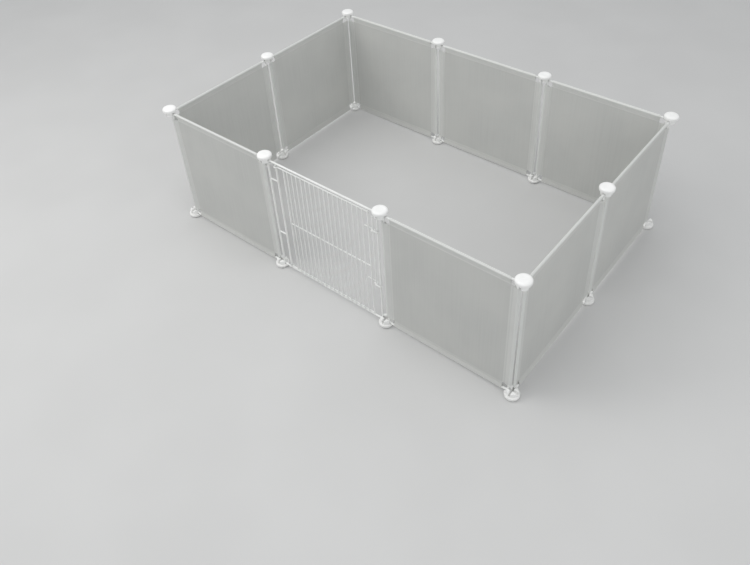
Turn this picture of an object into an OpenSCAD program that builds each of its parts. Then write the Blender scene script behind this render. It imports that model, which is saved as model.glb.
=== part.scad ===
// Pet playpen: ten square panels stand in a ring, three bays long and two bays wide.
// Nine are frosted plastic sheets on wire frames, and the middle front one is a wire gate
// whose door swings outwards. Slotted round connectors clip every panel corner, above and
// below. Millimetres, +Z up, +X along the long side, -Y towards the gate, origin on the
// floor at the middle of the pen.

/* [Layout] */
// Distance from one post's axis to the next
pitch = 365; // [362:1:372]

/* [Panels] */
// Outer width and height of every panel's wire frame
panel_size = 350; // [346:1:352]
// Diameter of the frame wire
frame_wire = 5; // [4:0.5:5]
// Radius of the frame's corners, to the middle of the wire
frame_bend = 10; // [8:1:12]
// Thickness of the plastic sheet
sheet_t = 0.8; // [0.6:0.1:1.2]
// Width of the sheet's doubled and welded hem, from the frame's outer edge
hem_w = 18; // [12:1:24]
// Length by which the hem's fold stands past the frame's two upright sides
fold_side = 5; // [1:0.1:6]
// Length by which the hem's fold stands past the frame's top and bottom
fold_end = 2; // [1:0.1:4]
// Side of the square notch that clears the connectors at each corner of the sheet
notch = 20; // [18:1:26]
// Radius in the inner corner of the notch
notch_r = 6; // [2:1:8]
// Play between the frame wire and the sleeve that the hem makes round it
sleeve_play = 0.05; // [0.02:0.01:0.2]

/* [Connectors] */
// Diameter of the round cap
cap_d = 37; // [36:1:44]
// Thickness of the cap
cap_t = 10; // [8:1:14]
// Diameter of the flat in the middle of the cap's domed face
cap_flat_d = 20; // [10:1:26]
// Height of the cap's straight side
cap_side = 5; // [3:0.5:7]
// Height of the top connectors' caps above the panels' upper edges
cap_lift = 3.5; // [0:0.5:5]
// Diameter of the slotted hub under the cap
hub_d = 28; // [26:1:32]
// Depth of the hub
hub_depth = 12; // [10:1:16]
// Width of the four slots that grip the frame wire
slot_w = 5.4; // [5.2:0.1:6.5]
// Width of the flare at each slot's mouth, on either side
slot_flare = 1; // [0.5:0.1:1.5]

/* [Gate frame] */
// Distance of the hinge jamb from the middle of the gate
jamb_x = 145.5; // [142:0.5:150]
// Diameter of the jamb wire
jamb_wire = 5; // [4:0.5:6]
// Diameter of the two ties between the jamb and the frame
tie_wire = 4; // [3:0.5:5]
// Height of the upper tie above the floor
tie_high = 302; // [260:1:320]
// Height of the lower tie above the floor
tie_low = 128; // [80:1:160]

/* [Door] */
// Distance of the door's hinged edge from the middle of the gate
door_left = 120.5; // [110:0.5:125]
// Distance of the door's free edge from the middle of the gate
door_right = 145.5; // [140:0.5:148]
// Diameter of the wires at the door's two upright edges
edge_wire = 4; // [3.5:0.5:5]
// Diameter of the three rails
rail_wire = 3.5; // [3:0.5:4]
// Diameter of the bars
bar_wire = 2.5; // [2:0.1:3]
// Number of bars between the two edges
bar_count = 17; // [9:1:21]
// Height of the top rail above the floor
rail_high = 348; // [345:0.5:350]
// Height of the middle rail above the floor
rail_mid = 179; // [140:1:220]
// Height of the bottom rail above the floor
rail_low = 17.2; // [17:0.1:20]
// Length by which edges and bars stand past the top and bottom rails
bar_over = 1.7; // [1:0.1:1.9]
// Play between the jamb and the hinge eyes
hinge_play = 0.35; // [0.3:0.05:0.6]

/* [Latch] */
// Distance of the latch rod from the middle of the gate
latch_x = 158.5; // [156:0.5:160]
// Diameter of the latch rod
latch_wire = 3.5; // [3:0.5:4]
// Diameter of the hooks and of the guides
hook_wire = 3; // [2.5:0.5:3]
// Height of the latch rod's top above the floor
latch_top = 341; // [320:1:343]
// Height of the latch rod's foot above the floor
latch_foot = 116; // [90:1:122]
// Height of the upper hook above the floor
hook_high = 302; // [260:1:320]
// Height of the lower hook above the floor
hook_low = 128; // [126:1:160]
// Gap between a hook and the gate frame's wire
hook_gap = 0.8; // [0.5:0.1:1]
// Length of each guide's stem behind the door's free edge
guide_stem = 28; // [20:1:40]

/* [Hidden] */
$fn = 48;
dome_steps = 12;                            // facets in the curve of a cap's profile
touch_gap = 0.02;                           // gap left where two welded wires meet
cut = 1;                                    // how far a cutting shape runs past its target
half = panel_size / 2;
panel_foot = cap_t;                         // lower edge of every panel
panel_top = cap_t + panel_size;             // upper edge of every panel
panel_mid = cap_t + half;
frame_run = half - frame_wire / 2;          // middle of a panel to its frame wire's axis
sleeve_r = frame_wire / 2 + sleeve_play;    // bore of the hem's sleeve
front_y = -pitch;                           // plane of the gate
bar_y = -(rail_wire + bar_wire) / 2 - touch_gap;
bar_pitch = (door_left + door_right) / (bar_count + 1);
hinge_bore_r = jamb_wire / 2 + hinge_play;
eye_flat = 0.1;                             // how deep each eye's bore cuts into its wire
hinge_eye_r = hinge_bore_r + rail_wire / 2 - eye_flat;
guide_y = (edge_wire + hook_wire) / 2 + touch_gap;
guide_bore_r = guide_y - hook_wire / 2 + eye_flat;
guide_drop = hook_wire + 0.3;               // a guide's height below or above its hook
guide_sweep = 250;                          // how far a guide's wire curls round the rod
hook_arc_r = frame_wire / 2 + hook_gap + hook_wire / 2;

// Each bay: its name, the middle of its floor line, and the way that its panel is turned
SHEET_BAYS = [
    ["front_left", [-pitch, -pitch], 0],
    ["front_right", [pitch, -pitch], 0],
    ["right_front", [1.5 * pitch, -pitch / 2], 90],
    ["right_back", [1.5 * pitch, pitch / 2], 90],
    ["back_right", [pitch, pitch], 180],
    ["back_middle", [0, pitch], 180],
    ["back_left", [-pitch, pitch], 180],
    ["left_back", [-1.5 * pitch, pitch / 2], 270],
    ["left_front", [-1.5 * pitch, -pitch / 2], 270],
];

// Each post: its name and the place of its axis
POSTS = [
    ["front_left", [-1.5 * pitch, -pitch]],
    ["gate_left", [-pitch / 2, -pitch]],
    ["gate_right", [pitch / 2, -pitch]],
    ["front_right", [1.5 * pitch, -pitch]],
    ["side_right", [1.5 * pitch, 0]],
    ["back_right", [1.5 * pitch, pitch]],
    ["back_inner_right", [pitch / 2, pitch]],
    ["back_inner_left", [-pitch / 2, pitch]],
    ["back_left", [-1.5 * pitch, pitch]],
    ["side_left", [-1.5 * pitch, 0]],
];

GATE_NODES = [
    "gate_frame", "gate_jamb", "gate_tie_upper", "gate_tie_lower",
    "door_frame", "door_mid_rail", "door_bars", "latch_guide_upper", "latch_guide_lower",
    "latch_rod", "latch_hook_upper", "latch_hook_lower",
];

// ---- Wire shapes ----

// Straight round wire from one point to another
module wire(from, to, d) {
    run = to - from;
    flat = norm([run.x, run.y]);
    translate(from)
        rotate([0, atan2(flat, run.z), atan2(run.y, run.x)])
            cylinder(h = norm(run), d = d);
}

// Arc of round wire about the Z axis, which starts on the X axis
module wire_arc(r, d, sweep) {
    rotate_extrude(angle = sweep)
        translate([r, 0])
            circle(d = d);
}

// Closed ring of wire about the Z axis, with its inner side bored to a true cylinder
module wire_eye(r, d, bore_r) {
    difference() {
        rotate_extrude()
            translate([r, 0])
                circle(d = d);
        cylinder(h = d, r = bore_r, center = true);
    }
}

// Closed square loop of wire in the XZ plane, about its middle
module wire_loop(run, bend, d) {
    for (turn = [0 : 90 : 270])
        rotate([0, turn, 0]) {
            translate([run, 0, 0])
                cylinder(h = 2 * (run - bend), d = d, center = true);
            translate([run - bend, 0, run - bend])
                rotate([90, 0, 0])
                    wire_arc(bend, d, 90);
        }
}

// ---- Sheet panels ----

// Stands a panel, drawn in the XZ plane about its middle, in its bay
module in_bay(bay) {
    translate([bay[1].x, bay[1].y, panel_mid])
        rotate([0, 0, bay[2]])
            children();
}

// Wire loop that stiffens a panel and clips into the connectors at its corners
module panel_frame(bay) {
    color([0.93, 0.94, 0.93])
        in_bay(bay)
            wire_loop(frame_run, frame_bend, frame_wire);
}

// Square with its corners notched, and each notch rounded inside
module notched_square(reach) {
    side = half - notch;
    square([2 * reach, 2 * side], center = true);
    square([2 * side, 2 * reach], center = true);
    for (turn = [0 : 90 : 270])
        rotate(turn)
            translate([side, side])
                difference() {
                    square(notch_r);
                    translate([notch_r, notch_r])
                        circle(notch_r);
                }
}

// The sheet's doubled hem on one side, with the sleeve that wraps the frame wire and the
// flat fold past it
module hem(side, fold) {
    hem_in = half - hem_w;
    hem_out = half + fold;
    translate([(hem_in + hem_out) / 2, 0, 0])
        cube([hem_out - hem_in, 2 * sheet_t, 2 * side], center = true);
    translate([frame_run, 0, 0])
        cylinder(h = 2 * side, r = sleeve_r + sheet_t, center = true);
}

// Frosted sheet, wrapped and welded round the four straight sides of its frame
module panel_sheet(bay) {
    side = half - notch;
    color([0.86, 0.87, 0.85])
        in_bay(bay)
            difference() {
                union() {
                    rotate([90, 0, 0])
                        linear_extrude(sheet_t, center = true)
                            notched_square(frame_run);
                    for (turn = [0 : 90 : 270])
                        rotate([0, turn, 0])
                            hem(side, turn % 180 == 0 ? fold_side : fold_end);
                }
                for (turn = [0 : 90 : 270])
                    rotate([0, turn, 0])
                        translate([frame_run, 0, 0])
                            cylinder(h = 2 * (side + cut), r = sleeve_r, center = true);
            }
}

// ---- Connectors ----

// Half section of the cap: flat underneath, straight side, and a quarter ellipse to the flat top
function cap_profile() =
    let (rise = cap_t - cap_side, reach = (cap_d - cap_flat_d) / 2)
    concat(
        [[0, 0], [cap_d / 2, 0]],
        [for (i = [0 : dome_steps])
            let (a = 90 * i / dome_steps)
            [cap_flat_d / 2 + reach * cos(a), cap_side + rise * sin(a)]],
        [[0, cap_t]]
    );

// Section of one slot, which flares at its mouth
module slot_section() {
    mouth = slot_w / 2 + slot_flare;
    polygon([
        [-slot_w / 2, 0],
        [-slot_w / 2, slot_flare - hub_depth],
        [-mouth, -hub_depth],
        [-mouth, -hub_depth - cut],
        [mouth, -hub_depth - cut],
        [mouth, -hub_depth],
        [slot_w / 2, slot_flare - hub_depth],
        [slot_w / 2, 0],
    ]);
}

// One moulding: the cap above the panels' edges, and the slotted hub that grips their corners
module connector() {
    rotate_extrude()
        polygon(cap_profile());
    difference() {
        translate([0, 0, -hub_depth])
            cylinder(h = hub_depth + cap_side / 2, d = hub_d);
        for (turn = [0, 90])
            rotate([90, 0, turn])
                linear_extrude(hub_d + cut, center = true)
                    slot_section();
    }
}

// Connector on top of a post, not pressed all the way down
module connector_top(post) {
    color([0.97, 0.97, 0.96])
        translate([post[1].x, post[1].y, panel_top + cap_lift])
            connector();
}

// The same moulding upside down at the foot of a post, where the pen rests on it
module connector_bottom(post) {
    color([0.95, 0.95, 0.94])
        translate([post[1].x, post[1].y, panel_foot])
            mirror([0, 0, 1])
                connector();
}

// ---- Gate frame ----

// Places what is drawn about the middle of the gate's floor line
module at_gate() {
    translate([0, front_y, 0])
        children();
}

// Outer wire loop of the gate, clipped in like any panel's frame
module gate_frame() {
    color([0.92, 0.93, 0.92])
        at_gate()
            translate([0, 0, panel_mid])
                wire_loop(frame_run, frame_bend, frame_wire);
}

// Upright wire that the door turns on, butted between the loop's top and bottom
module gate_jamb() {
    color([0.9, 0.91, 0.9])
        at_gate()
            wire([-jamb_x, 0, panel_foot + frame_wire], [-jamb_x, 0, panel_top - frame_wire], jamb_wire);
}

// Short wire that ties the jamb to the loop's hinged side
module gate_tie(z) {
    color([0.9, 0.91, 0.9])
        at_gate()
            wire([frame_wire - half, 0, z], [-jamb_x - jamb_wire / 2, 0, z], tie_wire);
}

// ---- Door ----

// Rail that ends in a closed eye round the jamb
module hinge_rail(z) {
    translate([-jamb_x, 0, z])
        wire_eye(hinge_eye_r, rail_wire, hinge_bore_r);
    wire([hinge_eye_r - jamb_x, 0, z], [door_right, 0, z], rail_wire);
}

// The door's two edges and its top and bottom rails, welded into one frame
module door_frame() {
    color([0.93, 0.94, 0.93])
        at_gate() {
            hinge_rail(rail_low);
            hinge_rail(rail_high);
            for (x = [-door_left, door_right])
                wire([x, 0, rail_low - bar_over], [x, 0, rail_high + bar_over], edge_wire);
        }
}

// Rail across the middle of the door, between its edges
module door_mid_rail() {
    color([0.92, 0.93, 0.92])
        at_gate()
            wire([(edge_wire / 2) - door_left, 0, rail_mid],
                 [door_right - edge_wire / 2, 0, rail_mid], rail_wire);
}

// Row of bars welded to the outer side of the three rails
module door_bars() {
    color([0.92, 0.93, 0.92])
        at_gate()
            for (i = [1 : bar_count])
                wire([i * bar_pitch - door_left, bar_y, rail_low - bar_over],
                     [i * bar_pitch - door_left, bar_y, rail_high + bar_over], bar_wire);
}

// ---- Latch ----

// Wire welded behind the door's free edge, and curled into an eye that holds the latch rod
module latch_guide(z) {
    color([0.9, 0.91, 0.9])
        at_gate()
            translate([latch_x, 0, z])
                difference() {
                    union() {
                        wire([-guide_stem, guide_y, 0], [0, guide_y, 0], hook_wire);
                        rotate([180, 0, 90])
                            wire_arc(guide_y, hook_wire, guide_sweep);
                    }
                    cylinder(h = 2 * hook_wire, r = guide_bore_r, center = true);
                }
}

// Upright rod that turns in the two guides
module latch_rod() {
    color([0.93, 0.94, 0.93])
        at_gate()
            wire([latch_x, 0, latch_foot], [latch_x, 0, latch_top], latch_wire);
}

// Hook that leaves the front of the rod, runs across the gate frame's free side and curls
// round it
module latch_hook(z) {
    root_y = -latch_wire / 2;
    root_r = hook_arc_r + root_y;
    color([0.93, 0.94, 0.93])
        at_gate()
            translate([0, 0, z]) {
                translate([latch_x + root_r, root_y, 0])
                    rotate([0, 0, 180])
                        wire_arc(root_r, hook_wire, 90);
                wire([latch_x + root_r, -hook_arc_r, 0], [frame_run, -hook_arc_r, 0], hook_wire);
                translate([frame_run, 0, 0])
                    rotate([0, 0, 270])
                        wire_arc(hook_arc_r, hook_wire, 90);
            }
}

// ---- Nodes ----

for (bay = SHEET_BAYS) {
    panel_frame(bay);
    panel_sheet(bay);
}
for (post = POSTS) {
    connector_top(post);
    connector_bottom(post);
}
gate_frame();
gate_jamb();
gate_tie(tie_high);  // gate_tie_upper
gate_tie(tie_low);  // gate_tie_lower
door_frame();
door_mid_rail();
door_bars();
latch_guide(hook_high - guide_drop);  // latch_guide_upper
latch_guide(hook_low + guide_drop);  // latch_guide_lower
latch_rod();
latch_hook(hook_high);  // latch_hook_upper
latch_hook(hook_low);  // latch_hook_lower
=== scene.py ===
"""Pet playpen: nine frosted sheet panels and a wire gate, held together by round slotted
connectors. Everything is in metres, in the same frame as the CAD."""

import math

import bmesh
import bpy
from mathutils import Matrix, Vector


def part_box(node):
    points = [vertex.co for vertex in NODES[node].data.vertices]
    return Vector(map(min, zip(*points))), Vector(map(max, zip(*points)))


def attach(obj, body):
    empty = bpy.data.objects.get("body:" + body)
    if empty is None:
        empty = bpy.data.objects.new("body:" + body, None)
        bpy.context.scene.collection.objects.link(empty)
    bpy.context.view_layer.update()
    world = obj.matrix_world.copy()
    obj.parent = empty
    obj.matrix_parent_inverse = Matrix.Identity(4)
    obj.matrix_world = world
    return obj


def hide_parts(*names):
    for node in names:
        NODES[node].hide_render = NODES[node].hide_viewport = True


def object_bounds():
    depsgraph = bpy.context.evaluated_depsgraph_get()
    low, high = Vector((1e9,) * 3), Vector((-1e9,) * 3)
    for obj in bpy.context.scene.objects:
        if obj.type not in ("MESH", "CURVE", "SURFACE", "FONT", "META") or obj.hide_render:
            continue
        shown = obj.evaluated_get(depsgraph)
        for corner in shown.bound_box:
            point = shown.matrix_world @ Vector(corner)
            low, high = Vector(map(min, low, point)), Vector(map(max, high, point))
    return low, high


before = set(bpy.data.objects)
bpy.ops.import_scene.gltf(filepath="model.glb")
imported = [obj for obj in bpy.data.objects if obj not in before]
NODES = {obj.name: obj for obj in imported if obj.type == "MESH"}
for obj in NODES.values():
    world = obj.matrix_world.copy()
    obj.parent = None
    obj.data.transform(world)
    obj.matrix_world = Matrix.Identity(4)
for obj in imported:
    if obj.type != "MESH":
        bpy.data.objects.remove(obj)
cad_low, cad_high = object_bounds()

X_AXIS, Y_AXIS, Z_AXIS = Vector((1, 0, 0)), Vector((0, 1, 0)), Vector((0, 0, 1))
MM = 0.001


def mm(*values):
    """Millimetres as metres."""
    return tuple(value * MM for value in values)


def endings(prefix):
    """The endings of the nodes whose names start with prefix."""
    return sorted(n[len(prefix):] for n in NODES if n.startswith(prefix))


def middle(node):
    """The middle of a node's box."""
    low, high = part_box(node)
    return (low + high) / 2


# ---- Sizes that the boxes don't give ----

SHEET_T = 0.8 * MM  # thickness of the frosted sheet
SHEET_CELLS = 30  # squares of mesh along a sheet's face
OIL_CAN = 1.4 * MM  # how far a sheet bows out of flat between its hems
NOTCH = 20 * MM  # side of the square notch at each corner of a sheet
HEM = 18 * MM  # width of the doubled hem, from the frame's outer edge
SLEEVE_PLAY = 0.05 * MM  # between the sheet's sleeve and its wire
LAYER_GAP = 0.05 * MM  # between the sheet and its folded-over hem
HEM_SHORT = 0.2 * MM  # the folded-over layer stops short of the hem's inner edge by this
PINCH = 2.2 * MM  # from the frame's outer edge to where the hem's layers meet past the wire
WRAP_STEPS = 9  # straight pieces of the sheet on each side of the wire
FOLD_STEPS = 6  # straight pieces of the sheet round the fold
SEAL_IN, SEAL_OUT = mm(2, 5)  # the heat-sealed line, from the hem's inner edge
SEAL_EASE = 0.4 * MM  # from each edge of the seal to its full depth
SEAL_CLEAR = 0.5 * MM  # flat hem between the seal and the sleeve
SEAL_DIP = 0.15 * MM  # how far the seal is pressed into the sheet
KNURL_PITCH = 1.6 * MM  # between the seal's knobs
KNURL_HEIGHT = 0.15 * MM

CAP_T = 10 * MM  # a connector's cap
CAP_SIDE = 5 * MM  # its straight side
CAP_FLAT_R = 10 * MM  # the flat on its domed face
CAP_RIM = 0.8 * MM  # rounding of its lower rim
RIM_STEPS = 4  # straight pieces of that rounding
DOME_STEPS = 18  # and of the dome, from its foot to its flat
CAP_STEPS = 84  # and round the whole cap
HUB_R = 14 * MM  # the slotted hub below it
HUB_DEPTH = 12 * MM
HUB_INTO_CAP = 0.9 * MM  # overlap that joins the hub to the cap
POST_ROUND = 0.7 * MM  # rounding of the upright edges of the hub's four posts
POST_STEPS, HUB_STEPS = 5, 14  # straight pieces of that rounding, and of a post's outer face
SLOT_HALF = 2.7 * MM  # half of a slot's width
SLOT_FLARE = 1 * MM  # the lead-in at a slot's mouth

# Groove between a cap's side and its dome: how deep, and how far above the side's top edge
CAP_GROOVE = [mm(0.03, -0.35), mm(0.14, -0.22), mm(0.14, -0.05), mm(0.02, 0.08)]
# Moulding mark on a cap's flat: how far from the middle, and how deep
CAP_MARK = [mm(5, 0.06), mm(3.2, 0.08), mm(2.9, 0.2), mm(2.6, 0.42), mm(1.1, 0.45), mm(0.8, 0.2),
            mm(0, 0.16)]

BAR_COUNT = 17
BAR_OVER = 1.7 * MM  # bars and edges stand past the top and bottom rails by this
EDGE_R = 2 * MM  # door's upright edges
RAIL_R = 1.75 * MM  # door's rails
EYE_PLAY = 0.25 * MM  # left between an eye's wire and the jamb
EYE_STEPS = 72  # straight pieces round each eye
EYE_WELD_OUT = 0.6 * MM  # from an eye's wire to the middle of its weld
HOOK_BEND_STEPS, HOOK_WRAP_STEPS = 8, 12  # straight pieces where a hook leaves its rod, and round the loop

# Half sizes of the nuggets of weld
BAR_WELD = mm(1.5, 0.8, 1.5)
EYE_WELD = mm(1.9, 2.1, 2.0)
RAIL_WELD = mm(2.5, 2.05, 2.6)
MID_RAIL_WELD = mm(2.5, 2.05, 2.3)
JAMB_WELD = mm(3.0, 2.75, 1.2)
TIE_WELD = mm(0.9, 2.3, 2.4)
HOOK_WELD = mm(1.9, 0.9, 2.0)

HOOK_RUB = 9 * MM  # reach of the worn coat where a latch hook meets the gate's loop
EYE_RUB = 8 * MM  # and where a hinge eye turns on the jamb


# ---- Colours ----

SHEET_DULL, SHEET_PALE = (0.672, 0.678, 0.66), (0.712, 0.716, 0.695)
SHEET_STREAK = (0.73, 0.737, 0.717)
SHEET_SCUFF = (0.82, 0.83, 0.81)
# Painted shade: a darker colour laid over the bottom of each sheet, next to the floor
SHEET_FLOOR_SHADE = (0.58, 0.57, 0.54)
HEM_DULL, HEM_PALE = (0.775, 0.782, 0.76), (0.81, 0.817, 0.795)
HEM_FOLD = (0.87, 0.88, 0.86)
HEM_SEAL = (0.69, 0.7, 0.685)
PLASTIC_DULL, PLASTIC_PALE = (0.87, 0.872, 0.86), (0.915, 0.915, 0.905)
PLASTIC_SCUFF = (0.74, 0.74, 0.72)
# Painted shade: a darker colour laid over the connectors that sit next to the floor
PLASTIC_FLOOR_SHADE = (0.62, 0.61, 0.58)
COAT_DULL, COAT_PALE = (0.80, 0.81, 0.79), (0.86, 0.865, 0.85)
COAT_SPECK = tuple(0.72 * c for c in COAT_DULL)
COAT_WORN = (0.42, 0.42, 0.41)
FLOOR_DULL, FLOOR_PALE = (0.6, 0.6, 0.595), (0.62, 0.62, 0.615)


# ---- Material helpers ----


class Finish:
    """A Principled material, with short calls for the nodes that drive it."""

    def __init__(self, name, roughness, ior=1.5):
        self.material = bpy.data.materials.new(name)
        self.material.use_nodes = True
        self.tree = self.material.node_tree
        self.shader = self.tree.nodes["Principled BSDF"]
        self.shader.inputs["Roughness"].default_value = roughness
        self.shader.inputs["IOR"].default_value = ior
        self.place = self.node("ShaderNodeTexCoord").outputs["Object"]
        self.normal = None

    def node(self, kind, **inputs):
        """A new node. An input is given by its name, or as i and its number."""
        made = self.tree.nodes.new(kind)
        for key, value in inputs.items():
            numbered = key[0] == "i" and key[1:].isdigit()
            self.feed(made.inputs[int(key[1:]) if numbered else key], value)
        return made

    def feed(self, socket, value):
        """Links an output to the socket, or sets the socket to a plain value."""
        if isinstance(value, bpy.types.NodeSocket):
            self.tree.links.new(value, socket)
        else:
            socket.default_value = value

    def noise(self, scale, detail=2.0, stretch=None, rough=0.5):
        """Noise of about 0.3 to 0.7. scale is in features for each metre."""
        vector = self.place
        if stretch:
            vector = self.node("ShaderNodeMapping", Vector=vector, Scale=stretch).outputs[0]
        return self.node("ShaderNodeTexNoise", Vector=vector, Scale=scale, Detail=detail,
                         Roughness=rough).outputs[0]

    def ramp(self, value, low, high, to_low=0.0, to_high=1.0):
        """value from low to high becomes to_low to to_high, held at both ends."""
        made = self.node("ShaderNodeMapRange", i0=value, i1=low, i2=high, i3=to_low, i4=to_high)
        made.interpolation_type = "SMOOTHSTEP"
        return made.outputs[0]

    def spread(self, noise, to_low=0.0, to_high=1.0):
        """The usual range of noise, spread from to_low to to_high."""
        return self.ramp(noise, 0.3, 0.7, to_low, to_high)

    def maths(self, operation, a, b=0.0, clamp=True):
        """A sum or other operation, held from 0 to 1 unless clamp is off."""
        made = self.node("ShaderNodeMath", i0=a, i1=b)
        made.operation = operation
        made.use_clamp = clamp
        return made.outputs[0]

    def blend(self, factor, a, b):
        """The colour a where factor is 0 and b where it is 1."""
        made = self.node("ShaderNodeMix")
        made.data_type = "RGBA"
        self.feed(made.inputs[0], factor)
        for socket, colour in ((made.inputs[6], a), (made.inputs[7], b)):
            self.feed(socket, colour if isinstance(colour, bpy.types.NodeSocket) else (*colour, 1))
        return made.outputs[2]

    def tint(self, base, colour, mask, share):
        """The colour base, with the given share of colour over it where mask is 1."""
        return self.blend(self.maths("MULTIPLY", mask, share), base, colour)

    def mask(self, name):
        """A value that the mesh carries for each of its points."""
        made = self.node("ShaderNodeAttribute")
        made.attribute_name = name
        return made.outputs["Fac"]

    def height(self):
        """Height above the floor."""
        return self.node("ShaderNodeSeparateXYZ", Vector=self.place).outputs["Z"]

    def bump(self, value, strength, distance):
        """Adds relief to the surface, on top of any that it has."""
        made = self.node("ShaderNodeBump", Strength=strength, Distance=distance, Height=value)
        if self.normal:
            self.feed(made.inputs["Normal"], self.normal)
        self.normal = made.outputs[0]

    def done(self, colour, roughness=None):
        """The material, with its colour, the relief that bump has made, and, where it is given, a
        roughness that varies over the surface."""
        for name, value in (("Base Color", colour), ("Roughness", roughness), ("Normal", self.normal)):
            if value:
                self.feed(self.shader.inputs[name], value)
        return self.material


# ---- Materials ----


def knurl(f):
    """Small raised knobs in square rows, in the plane of whichever panel this is."""
    split = f.node("ShaderNodeSeparateXYZ", Vector=f.place)
    along = f.maths("ADD", split.outputs["X"], split.outputs["Y"], clamp=False)
    waves = []
    for value in (along, split.outputs["Z"]):
        angle = f.maths("MULTIPLY", value, 2 * math.pi / KNURL_PITCH, clamp=False)
        waves.append(f.ramp(f.maths("SINE", angle, clamp=False), -1.0, 1.0))
    return f.maths("MULTIPLY", *waves)


def frosted_sheet():
    """Polypropylene sheet: faintly cloudy, finely grained, lightly streaked upwards, milkier where
    the hem doubles it, with a knurled line where the hem is sealed. Some light comes through."""
    f = Finish("frosted_sheet", roughness=0.5, ior=1.49)
    cloud = f.noise(7, detail=3)
    streak = f.noise(1, detail=2, stretch=(260, 260, 5))
    fine = f.noise(900, detail=2)
    hem, weld, fold = f.mask("hem"), f.mask("weld"), f.mask("fold")
    sheet = f.blend(f.spread(cloud), SHEET_DULL, SHEET_PALE)
    sheet = f.blend(f.ramp(streak, 0.35, 0.65, 0.0, 0.35), sheet, SHEET_STREAK)
    doubled = f.blend(f.spread(cloud), HEM_DULL, HEM_PALE)
    colour = f.tint(sheet, doubled, hem, 0.9)
    colour = f.tint(colour, HEM_FOLD, fold, 0.75)
    colour = f.tint(colour, HEM_SEAL, weld, 0.35)
    scuff = f.ramp(f.noise(60, detail=5, rough=0.7), 0.62, 0.72, 0.0, 0.25)
    colour = f.tint(colour, SHEET_SCUFF, scuff, 0.5)
    # Painted shade: the sheet darkens towards its bottom edge, by an amount that fine noise breaks up
    low_down = f.ramp(f.height(), 0.012, 0.035, 1.0, 0.0)
    colour = f.tint(colour, SHEET_FLOOR_SHADE, low_down, f.ramp(fine, 0.4, 0.6, 0.1, 0.3))
    rough = f.maths("ADD", f.spread(fine, 0.42, 0.52), f.maths("MULTIPLY", scuff, 0.4))
    f.bump(fine, 0.35, 0.12 * MM)
    f.bump(streak, 0.15, 0.25 * MM)
    f.bump(f.maths("MULTIPLY", knurl(f), weld), 0.8, KNURL_HEIGHT)
    f.done(colour, rough)
    through = f.node("ShaderNodeBsdfTranslucent", Color=colour, Normal=f.normal)
    share = f.ramp(hem, 0.0, 1.0, 0.3, 0.24)
    mixed = f.node("ShaderNodeMixShader", i0=share, i1=f.shader.outputs[0], i2=through.outputs[0])
    f.feed(f.tree.nodes["Material Output"].inputs["Surface"], mixed.outputs[0])
    return f.material


def connector_plastic():
    """Moulded white plastic: soft gloss, faint flow clouding, a sparked texture and light scuffs."""
    f = Finish("connector_plastic", roughness=0.35)
    flow = f.noise(55, detail=2)
    spark = f.noise(1400, detail=1)
    scuff = f.ramp(f.noise(260, detail=4, rough=0.7), 0.64, 0.74)
    colour = f.blend(f.spread(flow), PLASTIC_DULL, PLASTIC_PALE)
    colour = f.tint(colour, PLASTIC_SCUFF, scuff, 0.3)
    # Painted shade: plastic within 22 mm of the floor darkens, by an amount that noise breaks up
    low_down = f.ramp(f.height(), 0.0, 0.022, 1.0, 0.0)
    colour = f.tint(colour, PLASTIC_FLOOR_SHADE, low_down, f.ramp(f.noise(180, detail=4), 0.4, 0.65, 0.12, 0.4))
    rough = f.maths("ADD", f.spread(spark, 0.3, 0.4), f.maths("MULTIPLY", scuff, 0.2))
    f.bump(spark, 0.18, 0.06 * MM)
    f.bump(flow, 0.2, 0.2 * MM)
    return f.done(colour, rough)


def powder_coat(name, rubs=()):
    """White powder coat on steel wire: orange peel, slight clouding, specks, and the coat rubbed
    grey round each (point, reach) in rubs."""
    f = Finish(name, roughness=0.4, ior=1.52)
    peel = f.noise(650, detail=1)
    cloud = f.noise(30, detail=3)
    specks = f.ramp(f.noise(420, detail=3, rough=0.7), 0.67, 0.73)
    colour = f.blend(f.spread(cloud), COAT_DULL, COAT_PALE)
    colour = f.tint(colour, COAT_SPECK, specks, 0.5)
    rough = f.spread(peel, 0.34, 0.46)
    worn = None
    for point, reach in rubs:
        away = f.node("ShaderNodeVectorMath", i0=f.place, i1=tuple(point))
        away.operation = "DISTANCE"
        near = f.ramp(away.outputs["Value"], 0.35 * reach, reach, 1.0, 0.0)
        worn = near if worn is None else f.maths("MAXIMUM", worn, near)
    if worn is not None:
        ragged = f.ramp(f.noise(500, detail=4, rough=0.7), 0.42, 0.56)
        worn = f.maths("MULTIPLY", worn, ragged)
        colour = f.tint(colour, COAT_WORN, worn, 0.6)
        rough = f.maths("SUBTRACT", rough, f.maths("MULTIPLY", worn, 0.14))
    f.bump(peel, 0.3, 0.1 * MM)
    return f.done(colour, rough)


def floor_finish():
    """Plain pale studio floor."""
    f = Finish("studio_floor", roughness=0.7)
    return f.done(f.blend(f.spread(f.noise(3, detail=2)), FLOOR_DULL, FLOOR_PALE))


# ---- Mesh helpers ----


def show(name, mesh, finish, body, slot, *nodes, sharp=35):
    """Puts a finished mesh in the scene as a piece that stands for CAD nodes. Edges that turn by
    more than sharp degrees are not smoothed."""
    for polygon in mesh.polygons:
        polygon.use_smooth = True
    mesh.set_sharp_from_angle(angle=math.radians(sharp))
    piece = bpy.data.objects.new(name, mesh)
    bpy.context.scene.collection.objects.link(piece)
    piece.data.materials.clear()
    piece.data.materials.append(finish)
    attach(piece, body)
    if nodes:
        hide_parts(*nodes)


def mesh_from(bm, name):
    """Turns a bmesh into a mesh, with every face outwards."""
    bmesh.ops.recalc_face_normals(bm, faces=bm.faces)
    mesh = bpy.data.meshes.new(name)
    bm.to_mesh(mesh)
    bm.free()
    return mesh


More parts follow.
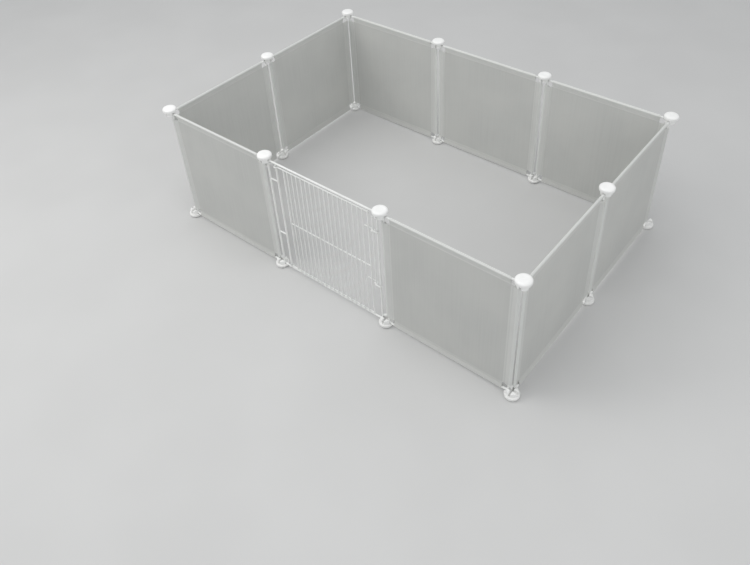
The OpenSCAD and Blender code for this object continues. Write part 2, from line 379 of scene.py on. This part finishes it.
def skin(bm, rings, closed=False):
    """Quads between rings of equally many points. Open runs of rings get a cap at each end."""
    loops = [[bm.verts.new(p) for p in ring] for ring in rings]
    pairs = list(zip(loops, loops[1:])) + ([(loops[-1], loops[0])] if closed else [])
    count = len(loops[0])
    for a, b in pairs:
        for i in range(count):
            j = (i + 1) % count
            bm.faces.new((a[i], a[j], b[j], b[i]))
    if not closed:
        bm.faces.new(loops[0])
        bm.faces.new(loops[-1])


def arc(centre, x_axis, y_axis, radius, start, end, steps):
    """Points on an arc from start to end, in degrees from x_axis towards y_axis."""
    turns = [math.radians(start + (end - start) * i / steps) for i in range(steps + 1)]
    return [centre + radius * (math.cos(t) * x_axis + math.sin(t) * y_axis) for t in turns]


def sweep(bm, path, radius, normal, closed=False, sides=20):
    """A round wire along a flat path whose plane's normal is given, with eased ends."""
    count = len(path)
    rings = []

    def ring(at, along, r):
        side = along.cross(normal)
        return [at + r * (math.cos(a) * normal + math.sin(a) * side)
                for a in (2 * math.pi * i / sides for i in range(sides))]

    def heading(i):
        before = path[(i - 1) % count] if closed or i > 0 else path[i]
        after = path[(i + 1) % count] if closed or i < count - 1 else path[i]
        return (after - before).normalized()

    ease = 0.4 * radius
    steps = 4
    for i, point in enumerate(path):
        along = heading(i)
        if closed or 0 < i < count - 1:
            rings.append(ring(point, along, radius))
            continue
        ends = [(ease * (1 - math.sin(t)), radius - ease * (1 - math.cos(t)))
                for t in (math.pi / 2 * k / steps for k in range(steps + 1))]
        if i == 0:
            rings += [ring(point + along * back, along, r) for back, r in reversed(ends)]
        else:
            rings += [ring(point - along * back, along, r) for back, r in ends]
    skin(bm, rings, closed)


def upright(bm, at, low, high, radius, sides=20):
    """A straight upright wire through the point at, between two heights."""
    sweep(bm, [Vector((at.x, at.y, low)), Vector((at.x, at.y, high))], radius, X_AXIS, sides=sides)


def bead(bm, at, radii, turn=0.0):
    """A small lumpy nugget of weld, flowed round the point where two wires meet. turn gives it
    lumps of its own."""
    made = bmesh.ops.create_uvsphere(bm, u_segments=14, v_segments=9, radius=1.0)
    for vertex in made["verts"]:
        c = vertex.co
        lump = 1 + 0.07 * math.sin(3.1 * c.x + turn) * math.sin(4.3 * c.z + 2 * turn)
        lump += 0.04 * math.sin(5 * c.y + turn)
        vertex.co = at + Vector((c.x * radii[0], c.y * radii[1], c.z * radii[2])) * lump


# ---- Sheet panels ----


def tangent(start, centre, radius, way):
    """Where a line from start touches a circle, passing it on the side that way gives, 1 or -1."""
    run = centre - start
    length = math.sqrt(run.length ** 2 - radius ** 2)
    angle = math.atan2(run.y, run.x) + way * math.asin(radius / run.length)
    return start + length * Vector((math.cos(angle), math.sin(angle)))


def hem_line(half, wire_r, fold):
    """Middle line of the sheet across one hem: points (distance from the panel's middle, distance
    inwards from its plane), each with 1 where the seal presses it in and 0 elsewhere. It passes
    one side of the frame's wire to the fold, and comes back on the wire's other side and over
    itself."""
    inner = half - HEM
    wire = Vector((half - wire_r, 0))
    bend = wire_r + SLEEVE_PLAY + SHEET_T / 2
    lift = SHEET_T + LAYER_GAP
    tip = Vector((half + fold - (SHEET_T + lift) / 2, 0))
    pinch_x = min(tip.x, half + PINCH)
    pinches = [Vector((pinch_x, -lift / 2)), Vector((pinch_x, lift / 2))]
    leave_x = inner + SEAL_OUT + SEAL_CLEAR
    leave, back = Vector((leave_x, 0)), Vector((leave_x, lift))

    def round_wire(before, after):
        """Points where the sheet lies against the wire, between two points away from it."""
        ends = [tangent(before, wire, bend, -1) - wire, tangent(after, wire, bend, 1) - wire]
        first, last = (math.atan2(p.y, p.x) for p in ends)
        turns = [first + (last - first) * i / WRAP_STEPS for i in range(WRAP_STEPS + 1)]
        return [wire + bend * Vector((math.cos(t), math.sin(t))) for t in turns]

    turns = [math.pi * (i / FOLD_STEPS - 0.5) for i in range(FOLD_STEPS + 1)]
    end = [tip + lift / 2 * Vector((math.cos(t), math.sin(t))) for t in turns]
    if tip.x > pinches[0].x:
        end = [pinches[0], *end, pinches[1]]
    seal = [(SEAL_IN, 0), (SEAL_IN + SEAL_EASE, 1), (SEAL_OUT - SEAL_EASE, 1), (SEAL_OUT, 0)]
    line = [(Vector((inner, 0)), 0)]
    line += [(Vector((inner + s, 0)), dip) for s, dip in seal]
    line += [(p, 0) for p in (leave, *round_wire(leave, pinches[0]), *end)]
    line += [(p, 0) for p in (*round_wire(pinches[1], back), back)]
    line += [(Vector((inner + s, lift)), dip) for s, dip in reversed(seal)]
    line += [(Vector((inner + HEM_SHORT, lift)), 0)]
    return line


def across(line, k):
    """Unit normal of the hem's middle line at point k."""
    before, after = line[max(k - 1, 0)][0], line[min(k + 1, len(line) - 1)][0]
    run = (after - before).normalized()
    return Vector((-run.y, run.x))


def bow(u, v, half, seed):
    """How far a sheet's face stands out of flat: up to OIL_CAN, and nothing at its hems."""
    side = half - NOTCH
    if max(abs(u), abs(v)) >= side:
        return 0.0
    a, b = 1 - (u / side) ** 2, 1 - (v / side) ** 2
    wave = 0.6 * math.sin(2.4 * seed)
    wave += 0.5 * math.sin(4.5 * u / half + seed) * math.cos(2.2 * v / half + seed)
    return OIL_CAN * a * b * wave


class Surface:
    """The middle of a sheet's thickness: points and faces, and what its points carry. It is drawn
    upright about the panel's middle, with +Y into the pen."""

    def __init__(self):
        self.points, self.normals, self.dips, self.faces = [], [], [], []
        self.masks = {"hem": [], "weld": [], "fold": []}

    def add(self, point, normal, dip=0.0, **masks):
        """Adds a point, and gives its number."""
        self.points.append(Vector(point))
        self.normals.append(normal)
        self.dips.append(dip)
        for name, values in self.masks.items():
            values.append(masks.get(name, 0.0))
        return len(self.points) - 1

    def face(self, marks, half, seed):
        """Adds the face, a grid of the marks both ways with its corner squares left out. Gives the
        number of the point at each place in the grid."""
        last = len(marks) - 1
        index = {}
        for i, u in enumerate(marks):
            for j, v in enumerate(marks):
                at_edge = (i in (0, last)) + (j in (0, last))
                if at_edge < 2:
                    index[i, j] = self.add((u, bow(u, v, half, seed), v), Y_AXIS, hem=float(at_edge))
        for i in range(last):
            for j in range(last):
                if {i in (0, last - 1), j in (0, last - 1)} != {True}:
                    self.faces.append([index[i, j], index[i, j + 1], index[i + 1, j + 1], index[i + 1, j]])
        return index

    def corners(self, index, last, inner, radius):
        """Fills each corner square up to the quarter circle that its notch cuts out of it."""
        for su in (-1, 1):
            for sv in (-1, 1):
                i0, i1 = (last, last - 1) if su > 0 else (0, 1)
                j0, j1 = (last, last - 1) if sv > 0 else (0, 1)
                curve = []
                for t in (math.pi / 8 * step for step in (1, 2, 3)):
                    u, v = inner - radius * math.sin(t), inner - radius * math.cos(t)
                    curve.append(self.add((su * u, 0, sv * v), Y_AXIS, hem=1.0))
                loop = [index[i1, j1], index[i0, j1], *curve, index[i1, j0]]
                self.faces.append(loop if su * sv < 0 else loop[::-1])

    def hem(self, index, marks, line, turn, wire_at):
        """Adds a hem out from the face's edge, on the side that is turn quarter turns from +X
        towards +Z."""
        last = len(marks) - 1
        c, s = ((1, 0), (0, 1), (-1, 0), (0, -1))[turn]

        def edge(j):
            """Place in the face's grid of mark j along this side."""
            return ((last, j), (last - j, last), (0, last - j), (j, 0))[turn]

        rows = [[index[edge(j)] for j in range(1, last)]]
        for k in range(1, len(line)):
            (p, w), dip = line[k]
            n = across(line, k)
            normal = Vector((c * n.x, n.y, s * n.x))
            fold = 1.0 if p > wire_at else 0.0
            rows.append([self.add((c * p - s * q, w, s * p + c * q), normal, dip=dip * SEAL_DIP,
                                  hem=1.0, weld=float(dip), fold=fold) for q in marks[1:-1]])
        for a, b in zip(rows, rows[1:]):
            for j in range(len(a) - 1):
                self.faces.append([a[j], a[j + 1], b[j + 1], b[j]])

    def thicken(self, name):
        """Makes the mesh of the sheet, closed round its free edges."""
        count = len(self.points)
        half_t = SHEET_T / 2
        solid = [p + n * half_t for p, n in zip(self.points, self.normals)]
        solid += [p - n * (half_t - dip) for p, n, dip in zip(self.points, self.normals, self.dips)]
        edges = {}
        for face in self.faces:
            for a, b in zip(face, face[1:] + face[:1]):
                edges.setdefault(frozenset((a, b)), []).append((a, b))
        free = [uses[0] for uses in edges.values() if len(uses) == 1]
        shell = self.faces + [[i + count for i in reversed(face)] for face in self.faces]
        shell += [[b, a, a + count, b + count] for a, b in free]
        mesh = bpy.data.meshes.new(name)
        mesh.from_pydata(solid, [], shell)
        for title, values in self.masks.items():
            mesh.attributes.new(title, "FLOAT", "POINT").data.foreach_set("value", values * 2)
        bm = bmesh.new()
        bm.from_mesh(mesh)
        bmesh.ops.recalc_face_normals(bm, faces=bm.faces)
        bm.to_mesh(mesh)
        bm.free()
        return mesh


def sheet_mesh(name, half, wire_r, past, seed):
    """One frosted sheet with notched corners: a slightly bowed face, and four hems that wrap the
    frame's wire. past is how far the fold stands past the frame at the two sides, and at the top
    and bottom."""
    side, inner = half - NOTCH, half - HEM
    marks = [-inner, *(-side + 2 * side * i / SHEET_CELLS for i in range(SHEET_CELLS + 1)), inner]
    surface = Surface()
    index = surface.face(marks, half, seed)
    surface.corners(index, len(marks) - 1, inner, inner - side)
    for turn in range(4):
        surface.hem(index, marks, hem_line(half, wire_r, past[turn % 2]), turn, half - wire_r)
    return surface.thicken(name)


def panel_place(bay):
    """Where a panel stands, and its frame's half height and wire radius. The panel's own X runs
    along it, and its Y points into the pen."""
    low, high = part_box("panel_frame_" + bay)
    centre, size = (low + high) / 2, high - low
    if size.x > size.y:
        inward = Vector((0, -math.copysign(1, centre.y), 0))
    else:
        inward = Vector((-math.copysign(1, centre.x), 0, 0))
    matrix = Matrix((inward.cross(Z_AXIS), inward, Z_AXIS)).transposed().to_4x4()
    matrix.translation = centre
    return matrix, size.z / 2, min(size.x, size.y) / 2


def make_sheets(finish):
    """Every panel's sheet, as wide and as high over its folds as the CAD's."""
    for seed, bay in enumerate(endings("panel_sheet_")):
        matrix, half, wire_r = panel_place(bay)
        low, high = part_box("panel_sheet_" + bay)
        past = (max(high.x - low.x, high.y - low.y) / 2 - half, (high.z - low.z) / 2 - half)
        mesh = sheet_mesh("sheet_" + bay, half, wire_r, past, seed + 1)
        mesh.transform(matrix)
        show("sheet_" + bay, mesh, finish, "root", "frosted_sheet", "panel_sheet_" + bay, sharp=40)


# ---- Connectors ----


def cap_profile(cap_r):
    """Half section of the cap, from its underside's middle, round its rim and dome, to the top."""
    rise, reach = CAP_T - CAP_SIDE, cap_r - CAP_FLAT_R
    line = [(0, 0), (cap_r - CAP_RIM, 0)]
    for i in range(1, RIM_STEPS + 1):
        t = math.pi / 2 * i / RIM_STEPS
        line.append((cap_r - CAP_RIM + CAP_RIM * math.sin(t), CAP_RIM - CAP_RIM * math.cos(t)))
    line += [(cap_r - depth, CAP_SIDE + z) for depth, z in CAP_GROOVE]
    for i in range(1, DOME_STEPS + 1):
        t = math.pi / 2 * i / DOME_STEPS
        line.append((CAP_FLAT_R + reach * math.cos(t), CAP_SIDE + rise * math.sin(t)))
    return line + [(r, CAP_T - depth) for r, depth in CAP_MARK]


def lathe(bm, line, steps):
    """Turns a half section that starts and ends on the Z axis into a closed solid."""
    first, last = bm.verts.new((0, 0, line[0][1])), bm.verts.new((0, 0, line[-1][1]))
    turns = [2 * math.pi * i / steps for i in range(steps)]
    loops = [[bm.verts.new((r * math.cos(t), r * math.sin(t), z)) for t in turns] for r, z in line[1:-1]]
    for i in range(steps):
        j = (i + 1) % steps
        bm.faces.new((first, loops[0][j], loops[0][i]))
        bm.faces.new((last, loops[-1][i], loops[-1][j]))
        for a, b in zip(loops, loops[1:]):
            bm.faces.new((a[i], a[j], b[j], b[i]))


def quarter(inset, reach, z):
    """Outline of one quarter of the hub: two flats that face the slots, and an arc between them."""
    c = inset + POST_ROUND
    far = math.sqrt((reach - POST_ROUND) ** 2 - c ** 2)
    lean = math.degrees(math.atan2(c, far))
    line = arc(Vector((far, c, z)), X_AXIS, Y_AXIS, POST_ROUND, -90, lean, POST_STEPS)
    line += arc(Vector((0, 0, z)), X_AXIS, Y_AXIS, reach, lean, 90 - lean, HUB_STEPS)[1:-1]
    line += arc(Vector((c, far, z)), X_AXIS, Y_AXIS, POST_ROUND, 90 - lean, 180, POST_STEPS)
    line += arc(Vector((c, c, z)), X_AXIS, Y_AXIS, POST_ROUND, 180, 270, POST_STEPS)
    return line


def hub_posts(bm):
    """The hub's four posts, with eased mouths to the slots between them."""
    foot = -HUB_DEPTH
    sections = [
        (SLOT_HALF, HUB_R, HUB_INTO_CAP),
        (SLOT_HALF, HUB_R, foot + SLOT_FLARE),
        (SLOT_HALF + 0.75 * SLOT_FLARE, HUB_R - 0.1 * SLOT_FLARE, foot + 0.25 * SLOT_FLARE),
        (SLOT_HALF + SLOT_FLARE, HUB_R - 0.4 * SLOT_FLARE, foot),
    ]
    for turn in range(4):
        spin = Matrix.Rotation(math.pi / 2 * turn, 3, "Z")
        skin(bm, [[spin @ p for p in quarter(*section)] for section in sections])


def connector_mesh(cap_r):
    """One moulding, drawn with its cap above the XY plane and its hub below."""
    cap_bm, hub_bm = bmesh.new(), bmesh.new()
    lathe(cap_bm, cap_profile(cap_r), CAP_STEPS)
    hub_posts(hub_bm)
    cap = bpy.data.objects.new("cap", mesh_from(cap_bm, "cap"))
    hub = bpy.data.objects.new("hub", mesh_from(hub_bm, "hub"))
    for part in (cap, hub):
        bpy.context.scene.collection.objects.link(part)
    union = cap.modifiers.new("union", "BOOLEAN")
    union.operation, union.solver, union.object = "UNION", "EXACT", hub
    bpy.context.view_layer.update()
    made = bpy.data.meshes.new_from_object(cap.evaluated_get(bpy.context.evaluated_depsgraph_get()))
    for part in (cap, hub):
        bpy.data.objects.remove(part)
    return made


def make_connectors(finish):
    """The twenty connectors, all the same moulding, each turned another way about its post."""
    low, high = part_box("connector_top_" + endings("connector_top_")[0])
    moulding = connector_mesh((high.x - low.x) / 2)
    for level in ("top", "bottom"):
        for turn, post in enumerate(endings(f"connector_{level}_")):
            node = f"connector_{level}_{post}"
            low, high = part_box(node)
            seat = high.z - CAP_T if level == "top" else low.z + CAP_T
            place = Matrix.Translation(((low.x + high.x) / 2, (low.y + high.y) / 2, seat))
            flip = Matrix.Rotation(math.pi if level == "bottom" else 0, 4, "X")
            mesh = moulding.copy()
            mesh.transform(place @ flip @ Matrix.Rotation(math.pi / 2 * turn, 4, "Z"))
            show(f"moulding_{level}_{post}", mesh, finish, "root", "connector_plastic", node)


# ---- Gate ----


def rail_heights():
    """Heights of the door's bottom, middle and top rails."""
    low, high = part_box("door_frame")
    return low.z + BAR_OVER, middle("door_mid_rail").z, high.z - BAR_OVER


def make_bars(finish):
    """Door bars with eased ends, and a nugget of weld where each crosses a rail."""
    low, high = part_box("door_bars")
    r, y = (high.y - low.y) / 2, middle("door_bars").y
    first, last = low.x + r, high.x - r
    bm = bmesh.new()
    for i in range(BAR_COUNT):
        x = first + (last - first) * i / (BAR_COUNT - 1)
        upright(bm, Vector((x, y, 0)), low.z, high.z, r)
        for k, z in enumerate(rail_heights()):
            bead(bm, Vector((x, y + r, z)), BAR_WELD, turn=i + 2.2 * k)
    show("door_bar_row", mesh_from(bm, "door_bar_row"), finish, "door", "gate_wire", "door_bars")


def make_door_frame(finish):
    """Two upright edges, and two rails that each end in an eye round the jamb."""
    low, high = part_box("door_frame")
    jamb_low, jamb_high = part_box("gate_jamb")
    jamb = middle("gate_jamb")
    bottom, mid, top = rail_heights()
    edge_xs = (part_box("door_mid_rail")[0].x - EDGE_R, high.x - EDGE_R)
    edges = [Vector((x, jamb.y, 0)) for x in edge_xs]
    eye_r = (jamb_high.x - jamb_low.x) / 2 + EYE_PLAY + RAIL_R
    bm = bmesh.new()
    for edge in edges:
        upright(bm, edge, low.z, high.z, EDGE_R, sides=24)
    for k, z in enumerate((bottom, top)):
        eye = Vector((jamb.x, jamb.y, z))
        ring = arc(eye, X_AXIS, Y_AXIS, eye_r, 0, 360 - 360 / EYE_STEPS, EYE_STEPS - 1)
        sweep(bm, ring, RAIL_R, Z_AXIS, closed=True)
        sweep(bm, [eye + Vector((eye_r, 0, 0)), Vector((edges[1].x, jamb.y, z))], RAIL_R, Z_AXIS)
        bead(bm, eye + Vector((eye_r + EYE_WELD_OUT, 0, 0)), EYE_WELD, turn=k)
        for i, edge in enumerate(edges):
            bead(bm, Vector((edge.x, jamb.y, z)), RAIL_WELD, turn=3 * k + i)
    for i, edge in enumerate(edges):
        bead(bm, Vector((edge.x, jamb.y, mid)), MID_RAIL_WELD, turn=7 + i)
    show("door_outline", mesh_from(bm, "door_outline"), finish, "door", "gate_wire", "door_frame")


def make_gate_welds(finish):
    """Nuggets of weld that join the jamb and its ties to the gate's outer loop."""
    low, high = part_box("gate_jamb")
    jamb = middle("gate_jamb")
    bm = bmesh.new()
    for k, z in enumerate((low.z, high.z)):
        bead(bm, Vector((jamb.x, jamb.y, z)), JAMB_WELD, turn=k)
    for k, node in enumerate(("gate_tie_upper", "gate_tie_lower")):
        tie_low, tie_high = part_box(node)
        at = middle(node)
        bead(bm, Vector((tie_low.x, at.y, at.z)), TIE_WELD, turn=k + 2)
        bead(bm, Vector((tie_high.x, at.y, at.z)), TIE_WELD, turn=k + 4)
    show("gate_welds", mesh_from(bm, "gate_welds"), finish, "root", "gate_wire")


def make_latch(finish):
    """The latch rod with eased ends, and its two hooks, each bent round the gate's loop."""
    low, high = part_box("latch_rod")
    rod = middle("latch_rod")
    r = (high.x - low.x) / 2
    bm = bmesh.new()
    upright(bm, rod, low.z, high.z, r, sides=24)
    show("latch_bar", mesh_from(bm, "latch_bar"), finish, "latch", "gate_wire", "latch_rod")
    loop_low, loop_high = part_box("gate_frame")
    loop_x = loop_high.x - (loop_high.y - loop_low.y) / 2
    for level in ("upper", "lower"):
        node = "latch_hook_" + level
        hook_low, hook_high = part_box(node)
        z, wire_r = middle(node).z, (hook_high.z - hook_low.z) / 2
        reach = rod.y - hook_low.y - wire_r
        bend = reach - r
        line = [Vector((rod.x, rod.y - 0.4 * r, z))]
        line += arc(Vector((rod.x + bend, rod.y - r, z)), X_AXIS, Y_AXIS, bend, 180, 270, HOOK_BEND_STEPS)
        line += arc(Vector((loop_x, rod.y, z)), X_AXIS, Y_AXIS, reach, 270, 360, HOOK_WRAP_STEPS)
        bm = bmesh.new()
        sweep(bm, line, wire_r, Z_AXIS)
        bead(bm, Vector((rod.x, rod.y - r, z)), HOOK_WELD, turn=z * 9)
        show("hook_" + level, mesh_from(bm, "hook_" + level), finish, "latch", "gate_wire", node)


def rubbed_places():
    """Where the latch hooks rub the gate's loop, and where the hinge eyes rub the jamb."""
    loop_low, loop_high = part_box("gate_frame")
    loop_x, loop_y = loop_high.x - (loop_high.y - loop_low.y) / 2, middle("gate_frame").y
    jamb = middle("gate_jamb")
    bottom, _, top = rail_heights()
    hook_heights = [middle("latch_hook_" + level).z for level in ("upper", "lower")]
    hooks = [(Vector((loop_x, loop_y, z)), HOOK_RUB) for z in hook_heights]
    eyes = [(Vector((jamb.x, jamb.y, z)), EYE_RUB) for z in (bottom, top)]
    return hooks, eyes


# ---- Finishes of the CAD nodes that stay ----


def paint(finish, *nodes):
    """Gives CAD nodes a finish in place of their own."""
    for node in nodes:
        slots = NODES[node].data.materials
        slots.clear()
        slots.append(finish)


# ---- Studio ----


def make_floor():
    """A pale floor that is wide enough for every view."""
    bm = bmesh.new()
    bmesh.ops.create_grid(bm, x_segments=24, y_segments=24, size=14)
    floor = bpy.data.objects.new("studio_floor", mesh_from(bm, "studio_floor"))
    bpy.context.scene.collection.objects.link(floor)
    floor.location.z = cad_low.z
    floor.data.materials.append(floor_finish())


def make_light(name, at, towards, size, power, colour=(1, 1, 1)):
    """A round lamp. size is across it, in metres, and power is in watts."""
    light = bpy.data.lights.new(name, "AREA")
    light.shape, light.size, light.energy, light.color = "DISK", size, power, colour
    lamp = bpy.data.objects.new(name, light)
    bpy.context.scene.collection.objects.link(lamp)
    lamp.location = at
    lamp.rotation_euler = (Vector(towards) - Vector(at)).to_track_quat("-Z", "Y").to_euler()


def make_studio():
    """Plain soft light: a pale surround, a wide lamp in front and to the left, a weaker one to the
    right, and a wide one above."""
    world = bpy.data.worlds.new("surround")
    bpy.context.scene.world = world
    world.use_nodes = True
    backdrop = world.node_tree.nodes["Background"]
    backdrop.inputs["Color"].default_value = (0.97, 0.985, 1, 1)
    backdrop.inputs["Strength"].default_value = 0.66
    make_light("key", (-1.5, -1.5, 2.1), (0, 0, 0.15), size=1.6, power=17, colour=(1, 0.985, 0.96))
    make_light("fill", (2.4, -0.7, 1.6), (0, 0, 0.15), size=1.8, power=9)
    make_light("top", (-0.2, -0.5, 2.6), (0, 0, 0), size=2.0, power=15)
    bpy.context.scene.view_settings.view_transform = "Standard"


def make_camera():
    """Camera at the photograph's angle: above and to the right of the gate, turned a little."""
    azimuth, elevation, roll = (math.radians(a) for a in (39.73, 38.92, -2.41))
    place = Matrix.Translation((1.0216, -1.3207, 1.4159))
    turn = (Matrix.Rotation(azimuth, 4, "Z") @ Matrix.Rotation(math.pi / 2 - elevation, 4, "X")
            @ Matrix.Rotation(roll, 4, "Z"))
    data = bpy.data.cameras.new("camera")
    data.lens, data.sensor_width = 35.87, 36
    data.shift_x, data.shift_y = -0.0267, -0.1066
    camera = bpy.data.objects.new("camera", data)
    bpy.context.scene.collection.objects.link(camera)
    camera.matrix_world = place @ turn
    bpy.context.scene.camera = camera


# ---- Everything in its place ----


def main():
    make_camera()
    make_studio()
    make_floor()
    sheet = frosted_sheet()
    plastic = connector_plastic()
    hooks, eyes = rubbed_places()
    coat = powder_coat("frame_wire_coat")
    loop_coat = powder_coat("gate_loop_coat", hooks)
    jamb_coat = powder_coat("gate_jamb_coat", eyes)
    gate_coat = powder_coat("gate_wire_coat")
    latch_coat = powder_coat("latch_coat", hooks)
    make_sheets(sheet)
    make_connectors(plastic)
    make_bars(gate_coat)
    make_door_frame(jamb_coat)
    make_gate_welds(gate_coat)
    make_latch(latch_coat)
    paint(coat, *("panel_frame_" + bay for bay in endings("panel_frame_")))
    paint(loop_coat, "gate_frame")
    paint(jamb_coat, "gate_jamb")
    paint(gate_coat, "gate_tie_upper", "gate_tie_lower", "door_mid_rail")
    paint(gate_coat, "latch_guide_upper", "latch_guide_lower")


main()
